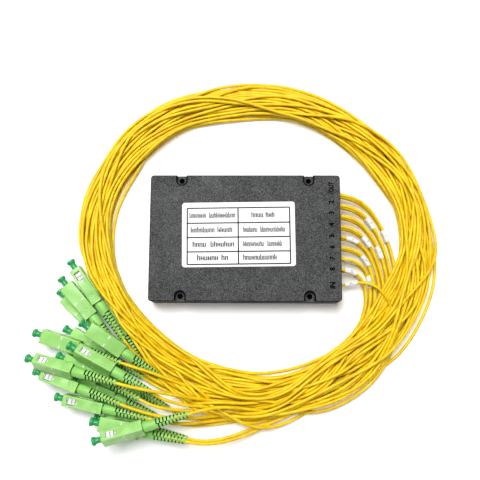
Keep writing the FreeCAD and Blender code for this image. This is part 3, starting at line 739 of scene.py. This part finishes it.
def combine(base, joined, cut, bevel, segments=2):
    """Joins meshes to a base, cuts others from it and rounds its edges; returns the new mesh."""
    piece = put("work", base)
    tools = []
    for mesh, mode in [(m, "UNION") for m in joined] + [(m, "DIFFERENCE") for m in cut]:
        tool = put("tool", mesh)
        tools.append(tool)
        step = piece.modifiers.new("cut", "BOOLEAN")
        step.object, step.operation, step.solver = tool, mode, "EXACT"
    soft = piece.modifiers.new("soft", "BEVEL")
    soft.width, soft.segments, soft.limit_method = bevel * MM, segments, "ANGLE"
    soft.angle_limit = math.radians(EDGE_ANGLE)
    made = evaluated_mesh(piece)
    for thing in [piece] + tools:
        bpy.data.objects.remove(thing)
    smooth(made)
    return made


# -------- the push-pull plug
SLEEVE_L, SLEEVE_W, SLEEVE_H, RISE = 25.0, 9.0, 6.9, 0.2
BORE_W, BORE_H, INNER_W, INNER_H, INNER_L = 7.6, 5.7, 7.3, 5.4, 24.6
SLEEVE_LOW, SLEEVE_TOP, SLEEVE_HALF = RISE - SLEEVE_H / 2, RISE + SLEEVE_H / 2, SLEEVE_W / 2
# The pointed windows seen from the side, as (x, z) from the sleeve's middle height
WINDOW = ((22.5, -2.1), (22.5, 2.1), (17.5, 2.1), (15.2, 0), (17.5, -2.1))
RIBS, RIB_FROM, RIB_STEP, RIB_T, RIB_DEEP = 5, 0.8, 1.15, 0.55, 0.3
KEY_X, KEY_HALF, KEY_OUT, KEY_IN, CORNER, EDGE_ANGLE = (4.0, 18.0), 1.2, 0.5, 0.4, 0.55, 40
DASH_X, DASHES_Y, DASH_LIFT = (11.4, 12.0), ((-3.7, -1.9), (1.9, 3.7)), 0.015


def window_mesh():
    """A bar of the windows' outline, right through the sleeve."""
    bm = bmesh.new()
    one = [bm.verts.new((x, -SLEEVE_HALF - 1, z + RISE)) for x, z in WINDOW]
    two = [bm.verts.new((x, SLEEVE_HALF + 1, z + RISE)) for x, z in WINDOW]
    bm.faces.new(one)
    bm.faces.new(list(reversed(two)))
    join_rings(bm, one, two)
    return finish_mesh("windows", bm)


def rib_boxes():
    """The shallow grooves between the rear ribs, on all four sides."""
    ribs = []
    for k in range(RIBS):
        x = RIB_FROM + RIB_STEP * k
        for s in (-1, 1):
            y0, y1 = sorted((s * (SLEEVE_HALF - RIB_DEEP), s * (SLEEVE_HALF + 1)))
            ribs.append((x, x + RIB_T, y0, y1, SLEEVE_LOW + 0.5, SLEEVE_TOP - 0.5))
            top, low = (SLEEVE_TOP - RIB_DEEP, SLEEVE_TOP + 1), (SLEEVE_LOW - 1, SLEEVE_LOW + RIB_DEEP)
            z0, z1 = top if s > 0 else low
            ribs.append((x, x + RIB_T, -SLEEVE_HALF + 0.6, SLEEVE_HALF - 0.6, z0, z1))
    return ribs


def grip_mesh():
    """Outer sleeve: rounded shell, pointed windows, key rail, shallow rear ribs, white dashes."""
    bm = bmesh.new()
    add_box(bm, 0, SLEEVE_L, -SLEEVE_HALF, SLEEVE_HALF, SLEEVE_LOW, SLEEVE_TOP)
    long_edges = [e for e in bm.edges if abs((e.verts[0].co - e.verts[1].co).x) > 20]
    bmesh.ops.bevel(bm, geom=long_edges, offset=CORNER, segments=3, affect="EDGES", profile=0.5)
    shell = finish_mesh("grip", bm)
    key = box_mesh("key", [(*KEY_X, -KEY_HALF, KEY_HALF, SLEEVE_LOW - KEY_OUT, SLEEVE_LOW + KEY_IN)])
    low, high = RISE - BORE_H / 2, RISE + BORE_H / 2
    bore = box_mesh("bore", [(-1, SLEEVE_L + 1, -BORE_W / 2, BORE_W / 2, low, high)])
    made = combine(shell, [key], [bore, window_mesh(), box_mesh("ribs", rib_boxes())], 0.13)
    bm = reopen(made)
    for f in bm.faces:
        f.material_index = 0
    x0, x1 = DASH_X
    for y0, y1 in DASHES_Y:
        for z, up in ((SLEEVE_TOP + DASH_LIFT, True), (SLEEVE_LOW - DASH_LIFT, False)):
            ring = [bm.verts.new((x, y, z)) for x, y in ((x0, y0), (x1, y0), (x1, y1), (x0, y1))]
            dash = bm.faces.new(ring if up else list(reversed(ring)))
            dash.material_index = 1
    write_back(bm, made)
    return made


# Grooves in the housing's sides, seen in the windows, as x0, x1, z0, z1
GROOVES = ((16.9, 17.2, -1.6, 1.7), (19.2, 19.5, -1.6, 1.7), (21.7, 22.1, -1.6, 1.7), (15.4, 22.6, 1.95, 2.5))
GROOVE_DEEP, SHADE_X, NOSE_L, NOSE_R = 0.5, (15, 23), 8, 2.3
FERRULE = ((INNER_L - NOSE_L, 1.25), (INNER_L - 1.1, 1.25), (INNER_L - 0.85, 1.0))


def housing_mesh():
    """White inner body with its nose, latch ridges seen in the windows, and ferrule."""
    low, high = RISE - INNER_H / 2, RISE + INNER_H / 2
    body = box_mesh("housing", [(0.8, INNER_L, -INNER_W / 2, INNER_W / 2, low, high)])
    bm = bmesh.new()
    add_turned(bm, [(INNER_L - NOSE_L, NOSE_R), (INNER_L + 1, NOSE_R)], closed=False)
    nose = finish_mesh("nose", bm)
    cuts = []
    for s in (-1, 1):
        y0, y1 = sorted((s * (INNER_W / 2 - GROOVE_DEEP), s * (INNER_W / 2 + 1)))
        cuts += [(x0, x1, y0, y1, z0, z1) for x0, x1, z0, z1 in GROOVES]
    made = combine(body, [], [nose, box_mesh("grooves", cuts)], 0.12)
    bm = reopen(made)
    # Faces on the groove floors seen in the windows get the grey: painted shade in the grooves.
    floor_y, skin_y = INNER_W / 2 - GROOVE_DEEP - 0.02, INNER_W / 2 - 0.1
    shade = {f.index for f in bm.faces if SHADE_X[0] < f.calc_center_median().x < SHADE_X[1]
             and floor_y < abs(f.calc_center_median().y) < skin_y}
    add_core(bm, FERRULE, 24, shade)
    write_back(bm, made)
    smooth(made)
    return made


SLIT_PAIRS, SLIT_T, SLIT_WEB, SLIT_FROM, SLIT_TO, SLIT_HALF_RIB = 9, 0.8, -0.2, -7.9, -27.4, 0.35
BOOT_LINE = ((0.75, 1.12), (0.75, 2.5), (-0.3, 2.5), (-0.3, 3.1), (-0.45, 3.2), (-6.8, 3.15), (-7.2, 3.0),
             (-27.5, 1.8), (-28.0, 1.65), (-28.0, 1.1))
TAPER, CORE_LINE = ((7.2, 27.5), (3.0, 1.8)), ((-19.4, CORD_R), (-15.0, CORD_R))


def boot_mesh():
    """Strain relief: neck, collar, a taper slit on both sides in turn, the cord inside it."""
    bm = bmesh.new()
    add_turned(bm, BOOT_LINE, 40)
    tube = finish_mesh("boot", bm)
    pitch = (SLIT_FROM - SLIT_TO) / (2 * SLIT_PAIRS)
    spots = [(SLIT_FROM - pitch * (k + 0.5), 1 if k % 2 else -1) for k in range(2 * SLIT_PAIRS)]
    slits = []
    for x, s in spots:
        y0, y1 = sorted((s * SLIT_WEB, s * 4.0))
        slits.append((x - SLIT_T / 2, x + SLIT_T / 2, y0, y1, SLIT_HALF_RIB, 4))
        slits.append((x - SLIT_T / 2, x + SLIT_T / 2, y0, y1, -4, -SLIT_HALF_RIB))
    made = combine(tube, [], [box_mesh("slits", slits)], 0.06, 1)
    bm = reopen(made)
    # Faces inside the slits get the dark slit material: painted shade in the slits' depths.
    slit_shade_faces = set()
    for f in bm.faces:
        c = f.calc_center_median()
        skin = np.interp(-c.x, *TAPER)
        if math.hypot(c.y, c.z) < skin - 0.1 and any(abs(c.x - x) < SLIT_T / 2 + 0.02 for x, _ in spots):
            slit_shade_faces.add(f.index)
    add_core(bm, CORE_LINE, 16, slit_shade_faces)
    write_back(bm, made)
    smooth(made)
    return made


CAP_TIP = SLEEVE_L + 6.2
CAP_LINE = ((18.6, 1.3), (18.6, 2.05), (18.8, 2.2), (25.2, 2.2), (25.6, 2.1), (26.1, 1.9), (28.6, 1.85),
            (29.2, 2.1), (29.7, 2.62), (30.0, 2.7), (31.0, 2.7), (CAP_TIP, 2.55), (CAP_TIP, 1.6),
            (31.0, 1.45), (27.0, 1.25), (26.9, 0.01), (24.2, 0.01), (24.1, 1.3))


def cap_mesh():
    """Dust cap: plug end in the nose, waist and flared rim, hollow from its tip."""
    bm = bmesh.new()
    add_turned(bm, CAP_LINE, 36)
    return finish_mesh("cap", bm, 50)


grip_shape, housing_shape, boot_shape, cap_shape = grip_mesh(), housing_mesh(), boot_mesh(), cap_mesh()
dress(grip_shape, GREEN, MARK_INK)
dress(housing_shape, WHITE, CERAMIC, GROOVE_SHADE)
dress(boot_shape, BOOT, JACKET, SLIT)
dress(cap_shape, CAP)


def pose(name, lean=None):
    """Where a plug's piece stands; a boot has a lean of its own."""
    x, y, z, heading, pitch, spin = PLUGS[name]
    spin = spin if lean is None else lean
    turned = Matrix.Rotation(math.radians(heading), 4, "Z") @ Matrix.Rotation(-math.radians(pitch), 4, "Y")
    return Matrix.Translation((x * MM, y * MM, z * MM)) @ turned @ Matrix.Rotation(math.radians(spin), 4, "X")


on_cord = {name: [] for name in NAMES}
for name in NAMES:
    for kind, shape, body, slot, node, lean in (
            ("grip_", grip_shape, "grip_" + name, "grip_green", "sleeve_" + name, None),
            ("housing_", housing_shape, "splitter", "plug_green", "plug_" + name, None),
            ("boot_", boot_shape, "splitter", "plug_green", "plug_" + name, 0.0),
            ("cap_", cap_shape, "splitter", "plug_green", "plug_" + name, None)):
        piece = put(kind + name, shape.copy())
        piece.matrix_world = pose(name, lean)
        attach(piece, body)
        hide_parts(node)
        on_cord[name].append(piece)


# -------- number sleeves on the leads
SLEEVE_SIDES, DIGIT_SIZE, BEND_R, DIGIT_R, READ_STEP, LONG_EDGE = 28, 2.0, 1.62, 1.625, 0.6, 0.6
SLEEVE_LINE = ([(-4.0, 1.12), (-4.0, 1.5), (-3.85, 1.6)] + [(-3 + 0.75 * k, 1.6) for k in range(9)]
               + [(3.85, 1.6), (4.0, 1.5), (4.0, 1.12)] + [(3 - 1.5 * k, 1.12) for k in range(5)])


def text_mesh(words, size, bold=0.0):
    """Flat letters about the origin, size and bold in mm."""
    curve = bpy.data.curves.new("words", "FONT")
    curve.body, curve.size = words, size * MM
    curve.align_x, curve.align_y = "CENTER", "CENTER"
    curve.offset = bold * MM
    curve.resolution_u = 3
    thing = put("words", curve)
    mesh = evaluated_mesh(thing)
    bpy.data.objects.remove(thing)
    return mesh


def along(name, place):
    """Distances along a cord's centreline, and the one of its nearest point to a place."""
    line = centrelines[name]
    dist = np.r_[0, np.cumsum(np.linalg.norm(np.diff(line, axis=0), axis=1))]
    return dist, float(dist[np.argmin(np.linalg.norm(line - place, axis=1))])


def read(line, dist, s):
    """The point at a distance along a centreline."""
    return Vector([float(np.interp(s, dist, line[:, k])) for k in range(3)])


def cord_axes(line, dist, s):
    """A point of a centreline, and there the ways ahead and over the cord."""
    ahead = (read(line, dist, s + READ_STEP * MM) - read(line, dist, s - READ_STEP * MM)).normalized()
    return read(line, dist, s), ahead, (Vector((0, 0, 1)) - ahead * ahead.z).normalized()


def add_digits(bm, name, line, dist, middle):
    """The lead's number, bent round its sleeve."""
    glyph = text_mesh(name.lstrip("0").upper(), DIGIT_SIZE)
    flat = bmesh.new()
    flat.from_mesh(glyph)
    bpy.data.meshes.remove(glyph)
    long_edges = [e for e in flat.edges if e.calc_length() > LONG_EDGE * MM]
    bmesh.ops.subdivide_edges(flat, edges=long_edges, cuts=2)
    spots = {}
    for v in flat.verts:
        spot, ahead, over = cord_axes(line, dist, middle + v.co.x)
        angle = v.co.y / (BEND_R * MM)
        out = over * math.cos(angle) + over.cross(ahead) * math.sin(angle)
        spots[v] = bm.verts.new(spot + out * DIGIT_R * MM)
    for f in flat.faces:
        bm.faces.new([spots[v] for v in f.verts]).material_index = 1
    flat.free()


def marker_piece(name):
    """A white sleeve that follows its cord, with the lead's number on top."""
    points, run = np.array(first_points(name)) * MM, MARKER_RUN[name]
    dist, middle = along(name, (points[run] + points[run + 1]) / 2)
    line = centrelines[name]
    steps = [2 * math.pi * k / SLEEVE_SIDES for k in range(SLEEVE_SIDES)]
    bm = bmesh.new()
    rings = []
    for x, r in SLEEVE_LINE:
        spot, ahead, over = cord_axes(line, dist, middle + x * MM)
        across = ahead.cross(over)
        ring = [spot + (over * math.cos(a) + across * math.sin(a)) * r * MM for a in steps]
        rings.append([bm.verts.new(place) for place in ring])
    for one, two in list(zip(rings, rings[1:])) + [(rings[-1], rings[0])]:
        join_rings(bm, one, two)
    bmesh.ops.recalc_face_normals(bm, faces=bm.faces)
    add_digits(bm, name, line, dist, middle)
    mesh = bpy.data.meshes.new("marker_" + name)
    bm.to_mesh(mesh)
    bm.free()
    smooth(mesh, 40)
    return put("marker_" + name, mesh)


for name in NAMES:
    piece = marker_piece(name)
    dress(piece.data, SLEEVE, PRINT)
    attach(piece, "splitter")
    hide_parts("lead_markers")
    on_cord[name].append(piece)


# -------- the box: label print, port marks, painted shadow at the screw pockets
LID_TOP, LABEL_TOP, LIFT = 18.0, 18.2, 0.03
LABEL_SPIN, LABEL_MIDDLE = 0.8, (-4.0, 2.0)


def on_box(name, mesh, mat):
    """Puts a printed or drawn mesh on the box."""
    piece = put(name, mesh)
    dress(mesh, mat)
    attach(piece, "splitter")


def face_up(mesh):
    """Turns every face to look up."""
    for f in mesh.polygons:
        if f.normal.z < 0:
            f.flip()
    return mesh


def strips(name, rows):
    """Printed bars (x0, x1, y0, y1) on the label, a hair above it."""
    bm = bmesh.new()
    for x0, x1, y0, y1 in rows:
        bm.faces.new([bm.verts.new((x, y, 0)) for x, y in ((x0, y0), (x1, y0), (x1, y1), (x0, y1))])
    place = Matrix.Translation((*LABEL_MIDDLE, LABEL_TOP + LIFT))
    bm.transform(place @ Matrix.Rotation(math.radians(LABEL_SPIN), 4, "Z"))
    on_box(name, face_up(finish_mesh(name, bm)), PRINT)


COLUMN, HALF_W, ROWS_Y, LINE = -0.2, 32.2, (16.9, 7.3, -1.8, -10.9, -18.8), 0.36
table = [(-HALF_W, HALF_W, y - LINE, y + LINE) for y in ROWS_Y]
table += [(x - LINE, x + LINE, ROWS_Y[-1], ROWS_Y[0]) for x in (-HALF_W, COLUMN, HALF_W)]
# Each row of print: its y, where it starts, its letter pitch, the widths of its words
WORDS = ((12.0, -30.8, 1.5, (10.8, 16.6)), (2.7, -30.0, 1.9, (15.2, 9.8)), (-6.4, -28.8, 2.15, (9.6, 15.2)),
         (-14.9, -26.0, 2.25, (13.6, 5.0)), (12.0, 8.2, 1.9, (7.4, 6.0)), (2.7, 2.8, 1.3, (9.2, 15.0)),
         (-6.4, 2.8, 1.3, (13.6, 9.6)), (-14.9, 2.8, 1.75, (21.2,)))
X_HEIGHT, CAP_HEIGHT, FOOT, STROKE, BAR_T, WORD_GAP, PRINT_SEED = 1.15, 2.1, -1.35, 0.29, 0.36, 1.6, 11


def letters():
    """Generic print: word-long rows of paired upright strokes, each pair with one joining stroke."""
    out, seed = [], np.random.default_rng(PRINT_SEED)
    for y, x, pitch, widths in WORDS:
        for width in widths:
            for k in range(round(width / pitch)):
                left, right, thick = x + k * pitch, x + (k + 0.55) * pitch, STROKE * pitch
                tall = CAP_HEIGHT if k == 0 else seed.choice([X_HEIGHT, X_HEIGHT, X_HEIGHT, CAP_HEIGHT])
                joined = seed.choice([FOOT, FOOT + 1.05, X_HEIGHT - BAR_T])
                out.append((left, left + thick, y + FOOT, y + tall))
                out.append((left + thick, right, y + joined, y + joined + BAR_T))
                out.append((right, right + thick, y + FOOT, y + X_HEIGHT))
            x += width + WORD_GAP
    return out


strips("label_table", table)
strips("label_bars", letters())

SCREW_AT, POCKET_R, POCKET_OUT, POCKET_STEPS = (40.25, 36.8), 2.95, 2.7, 24
POCKET_EDGES = (POCKET_R + 0.02, POCKET_R + 0.75)


def pocket_shadow_line(name, side_x, side_y):
    """Painted shadow along the edge of a screw pocket on the lid: a dark strip of half a ring, then two short
    runs out to the wall.
    """
    steps = [math.pi * k / POCKET_STEPS for k in range(POCKET_STEPS + 1)]
    rings = [[(r, POCKET_OUT)] + [(r * math.cos(a), -r * math.sin(a)) for a in steps] + [(-r, POCKET_OUT)]
             for r in POCKET_EDGES]
    bm = bmesh.new()
    one, two = [[bm.verts.new((x, y, 0)) for x, y in ring] for ring in rings]
    for k in range(len(one) - 1):
        bm.faces.new((one[k], one[k + 1], two[k + 1], two[k]))
    place = Matrix.Translation((side_x * SCREW_AT[0], side_y * SCREW_AT[1], LID_TOP + LIFT))
    bm.transform(place @ Matrix.Rotation(0 if side_y > 0 else math.pi, 4, "Z"))
    return face_up(finish_mesh(name, bm))


# Each pocket gets a dark strip round its edge: painted shadow.
for number, (side_x, side_y) in enumerate(((-1, -1), (-1, 1), (1, -1), (1, 1)), 1):
    name = "pocket_line_%d" % number
    on_box(name, pocket_shadow_line(name, side_x, side_y), POCKET_SHADOW)

PORTS = (("1OUT", 31.6), ("2", 22.8), ("3", 15.8), ("4", 8.3), ("5", 1.2), ("6", -5.9), ("7", -13.0),
         ("8", -19.8), ("IN", -29.9))
PORT_X, PORT_SIZE, PORT_BOLD, NARROW_WORD, NARROW_DIGIT = 54.5, 4.3, 0.17, 0.7, 0.95
for words, y in PORTS:
    mesh = text_mesh(words, PORT_SIZE, PORT_BOLD)
    narrow = Matrix.Diagonal((NARROW_WORD if len(words) > 2 else NARROW_DIGIT, 1, 1, 1))
    place = Matrix.Translation((PORT_X * MM, y * MM, (LID_TOP + LIFT) * MM))
    mesh.transform(place @ Matrix.Rotation(math.pi / 2, 4, "Z") @ narrow)
    on_box("port_" + words.lower(), mesh, MARKS)


# -------- floor, backdrop and light
FLOOR_HALF, GLOW_FROM, GLOW_TO, NEAR_GLOW, FAR_GLOW = 8000, 0.5, 1.8, 0.12, 0.8
WALL_R, WALL_H, WALL_GLOW, WORLD_GLOW = 7.9, 1.4, 0.7, 0.09


def lay_floor():
    """A white floor that glows more, farther from the part."""
    floor = put("floor", box_mesh("floor", [(-FLOOR_HALF, FLOOR_HALF, -FLOOR_HALF, FLOOR_HALF, -2, -0.02)]))
    mat, tree, node = shader("floor_white", (0.93, 0.93, 0.93), 0.9)
    spot = tree.nodes.new("ShaderNodeTexCoord")
    reach = tree.nodes.new("ShaderNodeVectorMath")
    glow = tree.nodes.new("ShaderNodeMapRange")
    reach.operation = "LENGTH"
    set_inputs(glow, From_Min=GLOW_FROM, From_Max=GLOW_TO, To_Min=NEAR_GLOW, To_Max=FAR_GLOW)
    link(tree, spot, "Object", reach, 0)
    link(tree, reach, "Value", glow, "Value")
    link(tree, glow, "Result", node, "Emission Strength")
    dress(floor.data, mat)


def raise_backdrop():
    """A low white wall, far off, for low views."""
    bm = bmesh.new()
    bmesh.ops.create_cone(bm, cap_ends=False, segments=96, radius1=WALL_R, radius2=WALL_R, depth=WALL_H)
    mesh = bpy.data.meshes.new("backdrop")
    bm.to_mesh(mesh)
    bm.free()
    backdrop = put("backdrop", mesh)
    backdrop.location.z = WALL_H / 2
    dress(mesh, shader("backdrop_white", (0.3, 0.3, 0.3), 0.9, Emission_Strength=WALL_GLOW)[0])


def lamp(name, place, at, size, power):
    """A square lamp that looks at a place, all in metres and watts."""
    data = bpy.data.lights.new(name, "AREA")
    data.shape, data.size, data.energy = "SQUARE", size, power
    light = put(name, data)
    light.location = place
    light.rotation_euler = (Vector(at) - Vector(place)).to_track_quat("-Z", "Y").to_euler()


lay_floor()
raise_backdrop()
world = bpy.data.worlds.new("world")
bpy.context.scene.world = world
world.use_nodes = True
set_inputs(world.node_tree.nodes["Background"], Color=(1, 1, 1, 1), Strength=WORLD_GLOW)
bpy.context.scene.view_settings.view_transform = "Standard"
bpy.context.scene.view_settings.look = "Medium High Contrast"
lamp("key", (-0.2, 0.42, 1.48), (0.03, -0.02, 0), 0.8, 24.3)
lamp("fill", (0.8, -0.2, 1.3), (0, 0, 0), 0.9, 2.3)
